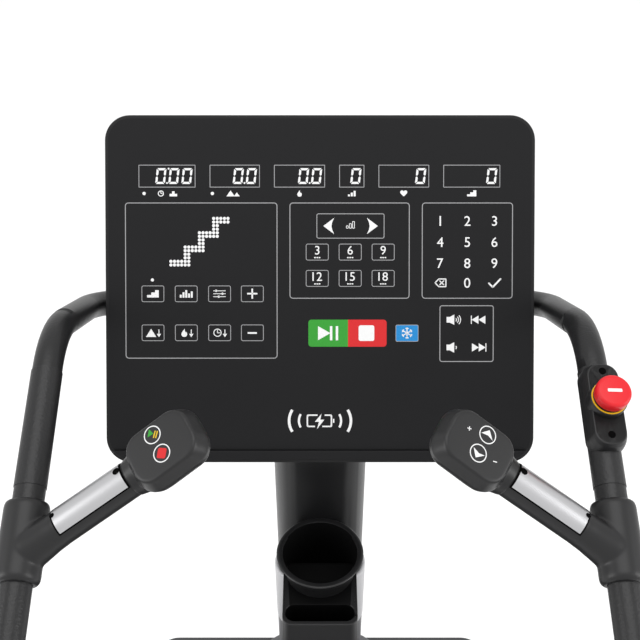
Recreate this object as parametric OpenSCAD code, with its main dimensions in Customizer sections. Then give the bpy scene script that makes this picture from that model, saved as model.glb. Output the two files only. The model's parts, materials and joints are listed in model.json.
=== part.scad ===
/* [Machine] */
// Length of the side covers over the floor
machine_l = 1472; // [1440:4:1520]
// Width over the two side covers
machine_w = 720; // [690:2:780]
// Gap between the side covers and the floor
floor_gap = 15; // [12:1:20]
// Wall of the moulded covers
cover_wall = 4; // [3:0.5:5]
// Height of the hood above the top tread
hood_rise = 130; // [120:5:170]
// Width of the hood
hood_w = 590; // [560:5:640]
// Thickness of the hood
hood_t = 29; // [24:1:40]
// Height of the side covers above the line of the tread noses
cover_rise = 130; // [110:5:160]

/* [Staircase] */
// Level distance from one tread nose to the next
step_run = 240; // [220:1:250]
// Height from one tread to the next
step_rise = 201; // [180:1:210]
// Width of a tread
tread_w = 472; // [400:2:474]
// Depth of a tread
tread_d = 236; // [200:1:238]
// Thickness of a tread
tread_t = 30; // [24:1:34]
// Height of the lowest tread above the floor
first_z = 256; // [250:1:275]
// Place of the lowest tread nose along the machine
first_y = -560; // [-566:1:-550]
// Depth of the step axle under the tread top
axle_drop = 45; // [42:1:50]
// Diameter of a step axle
axle_d = 12; // [8:0.5:12]
// Diameter of a step roller
roller_d = 40; // [32:1:44]
// Thickness of a riser
riser_t = 6; // [4:1:8]
// Diameter of the drive shaft and the idler shaft
shaft_d = 30; // [24:1:36]
// Half the distance between the two chains
chain_x = 245.5; // [245:0.1:246]
// Pitch radius of the large belt pulley
pulley_r = 110; // [90:1:116]
// Pitch radius of the small belt pulley
small_pulley_r = 30; // [24:1:36]

/* [Frame] */
// Inner face of the base rails, from the middle
rail_in_x = 266; // [264:1:270]
// Width of a base rail
base_w = 50; // [40:1:52]
// Height of a base rail
base_h = 60; // [50:1:70]
// Wall of the base rails
base_wall = 3; // [2:0.5:4]
// Height of the base rails above the floor
base_z = 22; // [20:1:26]
// Diameter of a transport wheel
wheel_d = 68; // [60:1:70]
// Width of a transport wheel
wheel_w = 23; // [18:1:24]
// Diameter of a levelling foot
foot_d = 48; // [40:1:50]

/* [Mast] */
// Width of the mast
mast_w = 128; // [110:1:140]
// Depth of the mast
mast_d = 66; // [56:1:76]
// Wall of the mast
mast_wall = 3; // [2:0.5:4]
// Width added by the mast sleeve
sleeve_extra = 13; // [8:1:20]

/* [Console] */
// Width of the console
console_w = 515; // [480:1:530]
// Height of the console face
console_h = 417; // [380:1:450]
// Thickness of the console
console_t = 48; // [40:1:60]
// Radius of the console corners
console_r = 30; // [20:1:40]
// Wall of the console shells
console_wall = 3; // [2:0.5:4]
// Angle between the console face and level
console_tilt = 49.5; // [45:0.5:55]
// Height of the middle of the console face
console_z = 1860; // [1800:5:1900]
// Place of the middle of the console face along the machine
console_y = 560; // [556:1:562]
// Height of the ledge below the console face
ledge_h = 12; // [8:1:16]

/* [Handrails] */
// Half the distance between the two handrails
rail_x = 284.5; // [282:0.5:286]
// Diameter of the handrail tube
rail_d = 31; // [28:0.5:32]
// Wall of the handrail tube
rail_wall = 2; // [1.5:0.5:3]
// Thickness of the grip sleeve
grip_t = 0.6; // [0.5:0.1:1]
// Rise of the handrail per unit of length
rail_slope = 0.35; // [0.30:0.01:0.40]
// Diameter of the joint cover
joint_d = 44; // [40:1:50]
// Length of the joint cover
joint_l = 80; // [70:1:90]
// Diameter of the inner handle
handle_d = 35; // [32:0.5:38]
// Length of the pulse plate
plate_l = 78; // [60:1:80]
// Thickness of the pulse plate
plate_t = 1.2; // [0.8:0.1:1.6]
// Length of the control pod
pod_l = 74; // [70:1:84]
// Width of the control pod
pod_w = 60; // [56:1:70]
// Thickness of the control pod
pod_t = 38; // [32:1:42]

/* [Stop switch] */
// Length of the switch housing
stop_l = 98; // [90:1:110]
// Width of the switch housing
stop_w = 40; // [34:1:42]
// Diameter of the mushroom cap
cap_d = 36; // [34:1:44]
// Diameter of the switch stem
stem_d = 16; // [12:0.5:18]

/* [Cup holder] */
// Outer diameter of the cup holder rim
cup_od = 116; // [108:1:124]
// Inner diameter of the cup
cup_id = 100; // [84:1:104]
// Depth of the cup
cup_deep = 85; // [70:1:100]
// Width of the slot for a phone
slot_w = 90; // [76:1:94]
// Depth of the slot opening, front to back
slot_d = 23.5; // [16:0.5:24]
// Wall of the pocket below the slot
pocket_wall = 7; // [5:0.5:9]

/* [Hidden] */
$fn = 64;
C = [0, console_y, console_z];
slope = atan2(step_rise, step_run);
pitch = norm([step_run, step_rise]);
wrap_r = pitch / PI;
link = pitch / 6;
run_y = first_y + tread_d / 2;
run_z = first_z - axle_drop;
low_y = run_y + wrap_r * sin(slope);
low_z = run_z - wrap_r * cos(slope);
up_y = low_y + 3 * step_run;
up_z = low_z + 3 * step_rise;
back_y = low_y + wrap_r * sin(slope);
back_z = low_z - wrap_r * cos(slope);
hood_z = first_z + 3 * step_rise + hood_rise;
cover_top = hood_z - hood_t;
half_l = machine_l / 2;
half_w = machine_w / 2;
mast_y = console_y - 5;
base_top = base_z + base_h;
hood_y0 = mast_y - 477;
hood_y1 = mast_y + 55;
skirt_x = rail_in_x - 4;
rail_out_x = rail_in_x + base_w;
fit = 0.05;
gap = 0.3;
wheel_y = half_l - 4 - wheel_d / 2;
wheel_z = wheel_d / 2 + 6;
foot_y = -640;
front_foot_y = 560;
gen_y = 440;
gen_z = 300;
gen_r = 65;
belt_x0 = rail_out_x + 8;
nose = step_rise / step_run;
rise_y = first_y + (cover_top - cover_rise - first_z) / nose;
low_cover_y = -650;
side_pts = [[-half_l, floor_gap], [half_l, floor_gap], [half_l, 90], [hood_y1, cover_top - 30],
    [hood_y1 - 40, cover_top], [rise_y, cover_top],
    [low_cover_y, first_z + (low_cover_y - first_y) * nose + cover_rise], [-half_l, 250]];
arch = C + [0, 62, -70];
bend2 = C + [rail_x, 62, -70];
bend1 = C + [rail_x, -130, 34.7 + rail_slope * 56.7];
bend0 = C + [rail_x, -1010, 34.7 + rail_slope * -823.3];
rail_end_z = 300;
rail_foot = [rail_x, -470, rail_end_z];
rail_tilt = atan(rail_slope);
leg_lean = atan2(bend0[1] - rail_foot[1], bend0[2] - rail_foot[2]);
dive = atan2(bend1[2] - bend2[2], bend2[1] - bend1[1]);
weld = 0.1;
bend0_r = 130;
bend1_r = 100;
bend2_r = 75;
cut0 = bend0_r * tan((90 - leg_lean - rail_tilt) / 2);
cut1 = bend1_r * tan((rail_tilt + dive) / 2);
rail_dir = [0, cos(rail_tilt), sin(rail_tilt)];
joint_c = C + [rail_x, -349, 34.7 + rail_slope * -162.3];
branch_o = C + [rail_x, -360, -26];
branch_v = unit([-105.1, 45, 57]);
branch_m = unit([0.463, -0.039, 0.885] - ([0.463, -0.039, 0.885] * branch_v) * branch_v);
stub_l = 42;
plate_s = 44;
handle_end = 150;
pod_c = C + [137.8, -304.8, 63.3];
pod_n = unit([0.365, -0.414, 0.834]);
pod_x = unit(branch_v - (branch_v * pod_n) * pod_n);
pod_y = cross(pod_n, pod_x);
stop_c = C + [rail_x, -220, 34.7 + rail_slope * -33.3];
stop_n = unit([0.06, -0.33, 0.944] - ([0.06, -0.33, 0.944] * rail_dir) * rail_dir);
stop_y = cross(stop_n, rail_dir);
stop_top = 27;
bezel = 8;
sleeve_z = hood_z + 182;
cup_y = console_y - 135;
cup_z = console_z - 345;
pocket_z = cup_z - 30;
pocket_deep = 135;
slot_y = cup_y - cup_od / 2 - slot_d / 2 - 1;

function unit(v) = v / norm(v);
function cross2(a, b) = a[0] * b[1] - a[1] * b[0];
function left_of(u) = [-u[1], u[0]];
// Outline moved inwards by t, for points listed anticlockwise
function inset(p, t) = [for (i = [0:len(p) - 1])
    let (n = len(p), b = p[i], u = unit(b - p[(i + n - 1) % n]), v = unit(p[(i + 1) % n] - b),
        q = b + left_of(u) * t, w = b + left_of(v) * t)
    q + u * cross2(w - q, v) / cross2(u, v)];
function ellipse_pts(a, b, n) = [for (i = [0:n - 1]) [a * cos(360 * i / n), b * sin(360 * i / n)]];
// One sprocket outline with its gaps on the pins of the chain
function tooth_pts(r, n) = [for (i = [0:n - 1], q = [[-7, -4], [-7, 4], [0, 5.5], [8, 9.5], [8, 20.5], [0, 24.5]])
    (r + q[0]) * [cos(90 + 360 * i / n + q[1]), sin(90 + 360 * i / n + q[1])]];

// A round bar from one point to another
module rod(a, b, r) {
    v = b - a;
    translate(a) rotate([0, acos(v[2] / norm(v)), atan2(v[1], v[0])]) cylinder(r = r, h = norm(v));
}
// A placed frame with its three axes
module placed(o, x, y, z) {
    multmatrix([[x[0], y[0], z[0], o[0]], [x[1], y[1], z[1], o[1]], [x[2], y[2], z[2], o[2]], [0, 0, 0, 1]])
        children();
}
// A straight length of bar, and a bend that carries on to what follows it
module straight(l, r, over) {
    translate([0, 0, -over]) cylinder(r = r, h = l + 2 * over);
    translate([0, 0, l]) children();
}
module bend(q, a, r) {
    multmatrix([[-1, 0, 0, q], [0, 0, 1, 0], [0, 1, 0, 0], [0, 0, 0, 1]])
        rotate([0, 0, -1]) rotate_extrude(angle = a + 2) translate([q, 0]) circle(r = r - weld);
    translate([q, 0, 0]) rotate([0, a, 0]) translate([-q, 0, 0]) children();
}
// A rounded rectangle and an oval with straight sides
module rrect(w, h, r) {
    square([w - 2 * r, h], center = true);
    square([w, h - 2 * r], center = true);
    for (x = [-1, 1], y = [-1, 1]) translate([x * (w / 2 - r), y * (h / 2 - r)]) circle(r = r);
}
module oval(w, d) {
    square([w - d, d], center = true);
    for (x = [-1, 1]) translate([x * (w - d) / 2, 0]) circle(d = d);
}
module rbox(w, h, r, z0, z1) translate([0, 0, z0]) linear_extrude(z1 - z0) rrect(w, h, r);
// A side outline pushed out across the machine
module across(x0, x1) translate([x0, 0, 0]) rotate([90, 0, 90]) linear_extrude(x1 - x0) children();
module block(x0, x1, y0, y1, z0, z1) translate([x0, y0, z0]) cube([x1 - x0, y1 - y0, z1 - z0]);
// The frame of the stair run, with y up the slope
module on_slope(y, z) translate([0, y, z]) rotate([slope, 0, 0]) children();
module on_console() translate(C) rotate([console_tilt, 0, 0]) children();
module left() mirror([1, 0, 0]) children();
module xrod(x0, x1, y, z, r) translate([x0, y, z]) rotate([0, 90, 0]) cylinder(r = r, h = x1 - x0);

// Base rail with the posts for the bearings, the handrail and the hood
module base_side() {
    difference() {
        union() {
            difference() {
                block(rail_in_x, rail_out_x, -half_l + 32, half_l - 32, base_z, base_top);
                block(rail_in_x + base_wall, rail_out_x - base_wall, -half_l + 30, half_l - 30,
                    base_z + base_wall, base_top - base_wall);
            }
            translate([rail_in_x + base_w / 2, foot_y, base_z]) cylinder(r = 14, h = 30);
        }
        translate([rail_in_x + base_w / 2, foot_y, base_z - 1]) cylinder(r = 6 + fit, h = 60);
    }
    post(rail_x - 16, rail_x + 16, rail_foot[1] - 16, rail_foot[1] + 16, base_top, rail_end_z - gap);
    post(rail_in_x + 2, rail_in_x + 34, up_y - 25, up_y + 25, base_top, up_z - 40);
    post(rail_in_x + 2, rail_in_x + 34, hood_y1 - 75, hood_y1 - 35, base_top, cover_top - 40);
    xrod(skirt_x - wheel_w - 7, rail_in_x + 0.5, wheel_y, wheel_z, 6);
    xrod(skirt_x - wheel_w - 7, skirt_x - wheel_w - 3, wheel_y, wheel_z, 11);
}
module post(x0, x1, y0, y1, z0, z1) {
    difference() {
        block(x0, x1, y0, y1, z0, z1);
        block(x0 + 3, x1 - 3, y0 + 3, y1 - 3, z0 - 1, z1 - 3);
    }
}
module base_right() color("dimgray") base_side();
module base_left() color("dimgray") left() base_side();
module cross_front() color("dimgray") difference() {
    block(-rail_in_x, rail_in_x, mast_y - 40, mast_y + 40, base_z, base_top);
    block(-rail_in_x - 1, rail_in_x + 1, mast_y - 37, mast_y + 37, base_z + 3, base_top - 3);
}
module cross_rear() color("dimgray") difference() {
    block(-rail_in_x, rail_in_x, -half_l + 34, -half_l + 66, base_z, base_top);
    block(-rail_in_x - 1, rail_in_x + 1, -half_l + 37, -half_l + 63, base_z + 3, base_top - 3);
}
module front_feet() color("black")
    for (s = [-1, 1]) translate([s * (rail_in_x + base_w / 2), front_foot_y, 0]) cylinder(d = foot_d, h = base_z);

// Oval mast, cut off parallel to the console
module mast() color("black") {
    difference() {
        translate([0, mast_y, base_top + 8]) linear_extrude(console_z - base_top - 30) oval(mast_w, mast_d);
        translate([0, mast_y, base_top]) linear_extrude(console_z - base_top)
            oval(mast_w - 2 * mast_wall, mast_d - 2 * mast_wall);
        on_console() translate([-300, -400, -console_t - 6]) cube([600, 800, 500]);
    }
    translate([0, mast_y, base_top]) linear_extrude(8) difference() {
        rrect(mast_w + 72, 80, 12);
        for (x = [-1, 1], y = [-1, 1]) translate([x * (mast_w / 2 + 18), y * 26]) circle(r = 5);
    }
}
module mast_collar() color("gray") difference() {
    union() {
        translate([0, mast_y, hood_z]) linear_extrude(12) polygon(ellipse_pts(mast_w / 2 + 48, mast_d / 2 + 39, 64));
        translate([0, mast_y, hood_z + 11]) linear_extrude(170) oval(mast_w + sleeve_extra - 2, mast_d + sleeve_extra - 2);
    }
    translate([0, mast_y, hood_z - 1]) linear_extrude(200) oval(mast_w + 2 * gap, mast_d + 2 * gap);
}
module mast_sleeve() color("silver") difference() {
    translate([0, mast_y, sleeve_z]) linear_extrude(min(139, pocket_z - pocket_deep - 25 - sleeve_z)) oval(mast_w + sleeve_extra, mast_d + sleeve_extra);
    translate([0, mast_y, sleeve_z - 1]) linear_extrude(160) oval(mast_w + 2 * gap, mast_d + 2 * gap);
}

// Hood with the lip that faces the stairs
module hood_plan(d) {
    translate([0, (hood_y0 + hood_y1) / 2]) rrect(hood_w - 2 * d, hood_y1 - hood_y0 - 2 * d, 40 - d);
    translate([0, mast_y]) polygon(ellipse_pts(mast_w / 2 + 48 - d, mast_d / 2 + 39 - d, 64));
}
module hood() color("dimgray") {
    difference() {
        translate([0, 0, cover_top]) linear_extrude(hood_t) hood_plan(0);
        translate([0, 0, cover_top - 1]) linear_extrude(hood_t - cover_wall + 1) hood_plan(cover_wall);
        translate([0, mast_y, cover_top]) linear_extrude(hood_t + 1) oval(mast_w + 2 * gap, mast_d + 2 * gap);
    }
    block(-skirt_x + 1, skirt_x - 1, hood_y0 + 40, hood_y0 + 44, cover_top - 66, hood_z - cover_wall);
}
module side_cover() {
    difference() {
        across(rail_in_x, half_w) polygon(side_pts);
        across(rail_in_x - 1, half_w - cover_wall) polygon(inset(side_pts, cover_wall));
        block(rail_in_x - 1, half_w - cover_wall, -half_l + cover_wall, half_l - cover_wall, 0, floor_gap + 8);
        rod(bend0, rail_foot, rail_d / 2 + 1);
    }
}
module side_cover_right() color("black") side_cover();
module side_cover_left() color("black") left() side_cover();
module skirt() difference() {
    across(skirt_x, rail_in_x) polygon(side_pts);
    xrod(skirt_x - 1, rail_in_x + 1, up_y, up_z, shaft_d / 2 + 5);
    xrod(skirt_x - 1, rail_in_x + 1, low_y, low_z, shaft_d / 2 + 5);
    xrod(skirt_x - 1, rail_in_x + 1, wheel_y, wheel_z, 6 + 1);
    xrod(skirt_x - 1, rail_in_x + 1, gen_y, gen_z, gen_r + 1);
    block(skirt_x - 1, rail_in_x + 1, mast_y - 42, mast_y + 42, base_z - 2, base_top + 2);
    block(skirt_x - 1, rail_in_x + 1, -half_l + 32, -half_l + 68, base_z - 2, base_top + 2);
}
module skirt_right() color("darkgray") skirt();
module skirt_left() color("darkgray") left() skirt();
module front_cover() color("black") difference() {
    across(-skirt_x, skirt_x) polygon([[half_l - cover_wall, 90], [half_l, 90], [hood_y1, cover_top - 30],
        [hood_y1, cover_top], [hood_y1 - cover_wall, cover_top], [hood_y1 - cover_wall, cover_top - 30]]);
    block(120, 170, half_l - 60, half_l + 10, 120, 150);
}
module power_inlet() color("black") difference() {
    block(120.5, 169.5, half_l - 45, half_l - 2, 120.5, 149.5);
    block(126, 164, half_l - 22, half_l, 125, 145);
}
module rear_cover() color("black") {
    block(-skirt_x, skirt_x, -half_l + 8, -half_l + 12, floor_gap, 140);
    block(-skirt_x, skirt_x, -half_l + 12, -half_l + 34, 98, 102);
    for (x = [-1, 1]) block(x * 200 - 2, x * 200 + 2, -half_l + 12, -half_l + 34, base_z, 98);
}

// Chain guides bolted to the inner panels, and the shaft bearings
module guide_rails() color("gray")
    for (s = [0, 1]) mirror([s, 0, 0]) on_slope(run_y, run_z)
        block(chain_x + 7.5, skirt_x, -pitch / 2 - 25, 3 * pitch + 15, -roller_d / 2 - gap - 25, -roller_d / 2 - gap);
module bearing(y, z, z0) difference() {
    union() {
        block(rail_in_x + 2, rail_in_x + 32, y - 45, y + 45, z0, z0 + 12);
        block(rail_in_x + 2, rail_in_x + 32, y - 32, y + 32, z0 + 11, z);
        xrod(rail_in_x + 2, rail_in_x + 32, y, z, 32);
    }
    xrod(rail_in_x, rail_in_x + 40, y, z, shaft_d / 2 + fit);
}
module upper_bearings() color("gray") for (s = [0, 1]) mirror([s, 0, 0]) bearing(up_y, up_z, up_z - 40);
module lower_bearings() color("gray") for (s = [0, 1]) mirror([s, 0, 0]) bearing(low_y, low_z, base_top);
module sprocket() {
    translate([chain_x - 2, 0, 0]) rotate([90, 0, 90]) linear_extrude(4) difference() {
        polygon(tooth_pts(wrap_r, 12));
        for (i = [0:5]) rotate(60 * i) translate([wrap_r * 0.6, 0]) circle(r = 18);
    }
    xrod(chain_x - 14, chain_x + 8, 0, 0, shaft_d / 2 + 12);
}
module drive_shaft() color("silver") {
    xrod(-rail_out_x + 12, belt_x0 + 22, up_y, up_z, shaft_d / 2);
    for (s = [0, 1]) mirror([s, 0, 0]) on_slope(up_y, up_z) sprocket();
}
module idler_shaft() color("silver") {
    xrod(-rail_out_x + 12, rail_out_x - 12, low_y, low_z, shaft_d / 2);
    for (s = [0, 1]) mirror([s, 0, 0]) on_slope(low_y, low_z) sprocket();
}
module drive_pulley() color("gray") difference() {
    union() {
        xrod(belt_x0, belt_x0 + 16, up_y, up_z, pulley_r);
        xrod(belt_x0 - 4, belt_x0 + 20, up_y, up_z, shaft_d / 2 + 10);
    }
    xrod(belt_x0 - 5, belt_x0 + 22, up_y, up_z, shaft_d / 2);
    for (i = [0:4]) translate([0, up_y, up_z]) rotate([72 * i, 0, 0])
        xrod(belt_x0 - 1, belt_x0 + 17, 0, pulley_r * 0.6, 26);
}
module alternator_case() color("silver") {
    difference() {
        union() {
            xrod(rail_in_x - 90, rail_in_x + 30, gen_y, gen_z, gen_r);
            block(rail_in_x + 4, rail_in_x + 30, gen_y - 30, gen_y + 30, base_top, gen_z);
            block(rail_in_x + 2, rail_in_x + 40, gen_y - 60, gen_y + 60, base_top, base_top + 6);
        }
        xrod(rail_in_x - 60, rail_in_x + 31, gen_y, gen_z, 8 + fit);
    }
}
module alternator_rotor() color("silver") {
    xrod(rail_in_x - 59, belt_x0 + 20, gen_y, gen_z, 8);
    xrod(belt_x0, belt_x0 + 16, gen_y, gen_z, small_pulley_r);
}
module belt_loop(d) hull() {
    translate([up_y, up_z]) circle(r = pulley_r + d, $fn = 96);
    translate([gen_y, gen_z]) circle(r = small_pulley_r + d, $fn = 96);
}
module belt() color("black") across(belt_x0 + 2, belt_x0 + 14) difference() {
    belt_loop(5);
    belt_loop(0.6);
}

// Treads, risers and axles of the climbing run
module tread() {
    difference() {
        block(-tread_w / 2, tread_w / 2, 0, tread_d, -tread_t, 0);
        block(-tread_w / 2 + 8, tread_w / 2 - 8, 18, tread_d / 2 - 24, -tread_t - 1, -7);
        block(-tread_w / 2 + 8, tread_w / 2 - 8, tread_d / 2 + 24, tread_d - 8, -tread_t - 1, -7);
    }
    for (x = [-1, 1]) difference() {
        block(x * (tread_w / 2 - 14) - 5, x * (tread_w / 2 - 14) + 5, tread_d / 2 - 14, tread_d / 2 + 14,
            -axle_drop - 12, -tread_t + 1);
        xrod(x * (tread_w / 2 - 14) - 6, x * (tread_w / 2 - 14) + 6, tread_d / 2, -axle_drop, axle_d / 2 + fit);
    }
}
module treads() color("dimgray") for (k = [0:3])
    translate([0, first_y + k * step_run, first_z + k * step_rise]) tread();
module risers() color("gray") for (k = [1:3])
    translate([0, first_y + k * step_run, first_z + k * step_rise])
        block(-tread_w / 2, tread_w / 2, 4, 4 + riser_t, -step_rise + 2, -tread_t);
module step_axles() color("silver") for (k = [0:3]) on_slope(run_y, run_z) translate([0, k * pitch, 0]) {
    xrod(-skirt_x + 1, skirt_x - 1, 0, 0, axle_d / 2);
    for (s = [0, 1]) mirror([s, 0, 0]) xrod(chain_x + 8, skirt_x - 1, 0, 0, roller_d / 2);
}
// One strand of chain, with plates on alternate links
module plate_row(i0, n, x) translate([x, 0, 0]) rotate([90, 0, 90]) linear_extrude(2) for (i = [i0:2:n - 1])
    translate([i * link, 0]) {
        polygon([[0, -9], [link, -9], [link + 8, -5], [link + 10, 0], [link + 8, 5], [link, 9], [0, 9], [-8, 5],
            [-10, 0], [-8, -5]]);
    }
module strand(n) difference() {
    union() {
        for (x = [chain_x - 4.6, chain_x + 2.6]) plate_row(0, n, x);
        for (x = [chain_x - 6.6, chain_x + 4.6]) plate_row(1, n, x);
        for (i = [0:n]) if (i % 6 != 0) xrod(chain_x - 6.6, chain_x + 6.6, i * link, 0, 5);
    }
    for (i = [0:6:n]) xrod(chain_x - 8, chain_x + 8, i * link, 0, axle_d / 2 + fit);
}
module chain_upper() color("gray") for (s = [0, 1]) mirror([s, 0, 0]) on_slope(run_y, run_z) strand(18);
module chain_return() color("gray") for (s = [0, 1]) mirror([s, 0, 0]) on_slope(back_y, back_z) strand(18);
module return_steps() color("dimgray") for (k = [1, 2]) on_slope(back_y, back_z) translate([0, k * pitch, 0]) {
    block(-tread_w / 2, tread_w / 2, -tread_d / 2, tread_d / 2, -tread_t - 12, -14);
    for (x = [-1, 1]) block(x * (tread_w / 2 - 14) - 5, x * (tread_w / 2 - 14) + 5, -10, 10, -15, 8);
    xrod(-skirt_x + 1, skirt_x - 1, 0, 0, axle_d / 2);
}

// Transport wheels and levelling feet
module wheel() difference() {
    xrod(skirt_x - wheel_w - 2, skirt_x - 1, wheel_y, wheel_z, wheel_d / 2);
    xrod(skirt_x - wheel_w - 3, skirt_x, wheel_y, wheel_z, 6 + fit);
}
module wheel_right() color("black") wheel();
module wheel_left() color("black") left() wheel();
module foot() translate([rail_in_x + base_w / 2, foot_y, 0]) {
    cylinder(d = foot_d, h = 12);
    translate([0, 0, 11]) cylinder(r = 14, h = 8);
    cylinder(r = 6, h = base_z + 34);
}
module foot_right() color("black") foot();
module foot_left() color("black") left() foot();

// Console shells and display
module console_rear() color("black") on_console() difference() {
    rbox(console_w, console_h, console_r, -console_t, -10);
    rbox(console_w - 2 * console_wall, console_h - 2 * console_wall, console_r - console_wall,
        -console_t + console_wall, -9);
}
module led_windows() for (w = [[-217.5, 68], [-132.5, 61], [-54.5, 61], [23, 30], [70, 61], [148, 68]])
    translate([w[0], 122, -12]) cube([w[1], 27, 12]);
module console_front() color("black") on_console() difference() {
    rbox(console_w, console_h, console_r, -10, -1);
    rbox(console_w - 8, console_h - 8, console_r - 4, -11, -4);
    led_windows();
}
module overlay() color([0.17, 0.17, 0.18]) on_console() difference() {
    rbox(console_w - 8, console_h - 8, console_r - 4, -1, 0);
    translate([-console_w / 2, -console_h / 2 - 1, -2]) cube([console_w, ledge_h + 5, 4]);
}
module console_ledge() color("black") on_console() difference() {
    rbox(console_w - 8, console_h - 8, console_r - 4, -1, 5);
    translate([-console_w / 2, -console_h / 2 + ledge_h + 3, -2]) cube([console_w, console_h, 9]);
}
module display_board() color("darkgreen") on_console() {
    translate([-235, 20, -14]) cube([470, 165, 1.6]);
    for (w = [[-217.5, 68], [-132.5, 61], [-54.5, 61], [23, 30], [70, 61], [148, 68]])
        translate([w[0] + 1, 123, -12.5]) cube([w[1] - 2, 25, 11.4]);
    for (x = [-228, 228], y = [30, 178]) translate([x, y, -12.6]) cylinder(r = 3, h = 8.6);
    translate([0, -150, -12]) cylinder(r = 40, h = 8);
}
module console_bracket() color("dimgray") on_console() translate([0, -71, 0]) difference() {
    rbox(mast_w + 60, 130, 14, -console_t - 6, -console_t);
    for (x = [-1, 1], y = [-1, 1]) translate([x * (mast_w / 2 + 17), y * 50, -console_t - 7]) cylinder(r = 3, h = 9);
}

// Handrails, their clamp and the grips
module rail_bar(r, over) translate(rail_foot) rotate([-leg_lean, 0, 0]) rotate([0, 0, 90]) {
    translate([0, 0, -over]) cylinder(r = r, h = norm(bend0 - rail_foot) - cut0 + over);
    translate([0, 0, norm(bend0 - rail_foot) - cut0]) bend(bend0_r, 90 - leg_lean - rail_tilt, r)
    straight(norm(bend1 - bend0) - cut0 - cut1, r, 0) bend(bend1_r, rail_tilt + dive, r)
    straight(norm(bend2 - bend1) - cut1 - bend2_r, r, 0) rotate([0, 0, 90]) bend(bend2_r, 90, r)
    cylinder(r = r, h = rail_x - bend2_r + over);
}
module rail() difference() {
    rail_bar(rail_d / 2, 0);
    rail_bar(rail_d / 2 - rail_wall, 1);
}
module rail_right() color("black") rail();
module rail_left() color("black") left() rail();
module rail_clamp() color("dimgray") difference() {
    block(-45, 45, mast_y + mast_d / 2, arch[1] + 24, arch[2] - 24, arch[2] + 22);
    xrod(-50, 50, arch[1], arch[2], rail_d / 2 + fit);
    on_console() translate([-100, -200, -console_t - 6 - gap]) cube([200, 400, 100]);
}
module grip() {
    a = joint_c + rail_dir * (joint_l / 2 + 15);
    b = bend1 - rail_dir * (cut1 + 2);
    difference() {
        rod(a, b, rail_d / 2 + grip_t);
        rod(a - rail_dir, b + rail_dir, rail_d / 2);
    }
}
module grip_right() color([0.15, 0.15, 0.15]) grip();
module grip_left() color([0.15, 0.15, 0.15]) left() grip();
module joint_cover() {
    r = joint_d / 2;
    difference() {
        union() {
            translate(joint_c) rotate([rail_tilt - 90, 0, 0]) rotate_extrude() polygon([[0, -joint_l / 2],
                [r - 7, -joint_l / 2], [r - 2, -joint_l / 2 + 3], [r, -joint_l / 2 + 9], [r, joint_l / 2 - 9],
                [r - 2, joint_l / 2 - 3], [r - 7, joint_l / 2], [0, joint_l / 2]]);
            rod(branch_o, branch_o + branch_v * stub_l, handle_d / 2 + 1.5);
        }
        rod(joint_c - rail_dir * 100, joint_c + rail_dir * 100, rail_d / 2 + fit);
    }
}
module joint_cover_right() color("black") joint_cover();
module joint_cover_left() color("black") left() joint_cover();
module handle() rod(branch_o + branch_v * stub_l, branch_o + branch_v * handle_end, handle_d / 2);
module handle_right() color("black") handle();
module handle_left() color("black") left() handle();
module pulse_plate() placed(branch_o + branch_v * plate_s, branch_m, cross(branch_v, branch_m), branch_v)
    intersection() {
        difference() {
            cylinder(r = handle_d / 2 + plate_t, h = plate_l);
            translate([0, 0, -1]) cylinder(r = handle_d / 2 + fit, h = plate_l + 2);
        }
        linear_extrude(plate_l) polygon([[0, 0], [30, -64], [70, -64], [70, 64], [30, 64]]);
    }
module pulse_plate_right() color("silver") pulse_plate();
module pulse_plate_left() color("silver") left() pulse_plate();
module pod() difference() {
    placed(pod_c, pod_x, pod_y, pod_n) {
        rbox(pod_l - 14, pod_w - 14, 15, -pod_t / 2, -pod_t / 2 + 14);
        rbox(pod_l, pod_w, 20, -pod_t / 2 + 14, pod_t / 2 - 10);
        rbox(pod_l - 10, pod_w - 8, 17, pod_t / 2 - 10, pod_t / 2);
    }
    rod(branch_o, branch_o + branch_v * handle_end, handle_d / 2);
    rod(branch_o, branch_o + branch_v * (plate_s + plate_l + 1), handle_d / 2 + plate_t);
}
module pod_right() color("black") pod();
module pod_left() color("black") left() pod();

// Emergency stop switch on the right handrail
module on_stop() placed(stop_c, rail_dir, stop_y, stop_n) children();
module estop_housing() color("black") difference() {
    on_stop() {
        rbox(stop_l, stop_w, stop_w / 2 - 0.5, 8, stop_top);
        translate([0, 0, stop_top - 1]) cylinder(r = cap_d / 2 + 1, h = bezel + 1);
    }
    rod(stop_c - rail_dir * 80, stop_c + rail_dir * 80, rail_d / 2 + grip_t + fit);
    on_stop() translate([0, 0, rail_d / 2 + grip_t + 1]) cylinder(r = stem_d / 2 + fit, h = 60);
}
module estop_ring() color("gold") on_stop() translate([0, 0, stop_top + bezel]) difference() {
    cylinder(r = cap_d / 2 - 0.5, h = 3);
    translate([0, 0, -1]) cylinder(r = stem_d / 2 + 1, h = 5);
}
module estop_stem() color("silver") on_stop() {
    translate([0, 0, stop_top - 5]) cylinder(r = stem_d / 2, h = bezel + 12.5);
    translate([0, 0, stop_top + bezel + 7]) cylinder(r = 5, h = 5.5);
}
module estop_cap() color("red") on_stop() translate([0, 0, stop_top + bezel + 7.5]) difference() {
    rotate_extrude() polygon([[0, 0], [cap_d / 2 - 2, 0], [cap_d / 2, 1.5], [cap_d / 2, 5], [cap_d / 2 - 1.5, 7.5],
        [cap_d / 2 - 5, 9], [0, 10]]);
    translate([0, 0, -1]) cylinder(r = 5 + fit, h = 6.5);
}

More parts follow.
